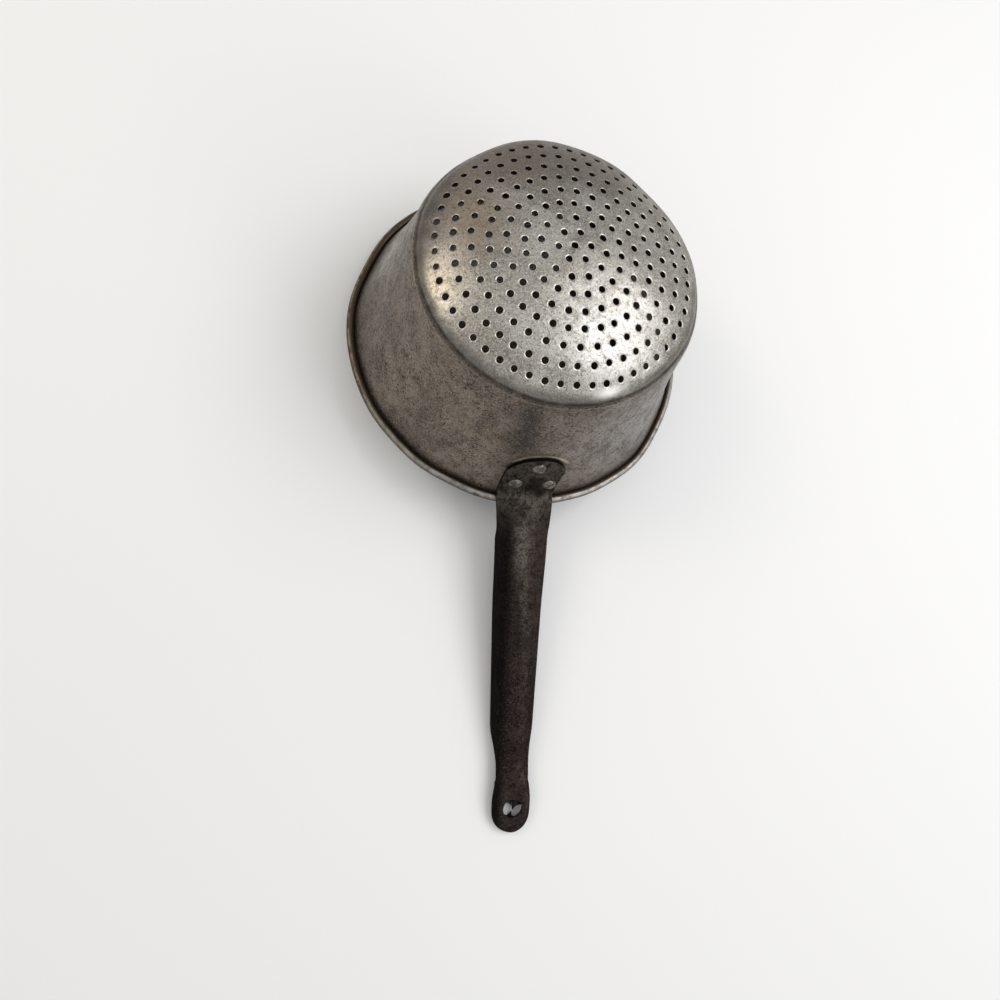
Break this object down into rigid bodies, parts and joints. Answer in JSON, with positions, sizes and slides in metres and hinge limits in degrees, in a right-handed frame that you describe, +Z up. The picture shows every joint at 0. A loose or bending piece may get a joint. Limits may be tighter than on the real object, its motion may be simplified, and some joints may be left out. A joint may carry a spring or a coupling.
{
  "type": "long-handled kitchen strainer",
  "caption": "Deep tinned-steel strainer bowl with a perforated dome bottom, wired rim and riveted half-round sheet handle ending in a folded hanging tip.",
  "frame": {"origin": "on the floor, under the middle of the bounding box of the strainer as it rests mouth down on its rim and the tip of its handle", "axes": "+Z up from the floor; the handle runs towards -Y; +X to the right seen from the handle's end. The bowl's axis leans 9.23 degrees from +Z towards +Y"},
  "size_m": [0.191, 0.3698, 0.1105],
  "materials": {
    "tinned_sheet": "aged tin over steel, mottled, with fine rust flecks",
    "wire": "plain drawn wire, hidden in the rim",
    "handle_iron": "dark oxidised sheet iron, worn smooth",
    "rivet_iron": "dark, with worn brighter heads"
  },
  "bodies": {
    "root": {"bowl": "tinned_sheet", "rim_wire": "wire", "handle": "handle_iron", "rivet_left": "rivet_iron", "rivet_right": "rivet_iron", "rivet_top": "rivet_iron"}
  },
  "joints": []
}
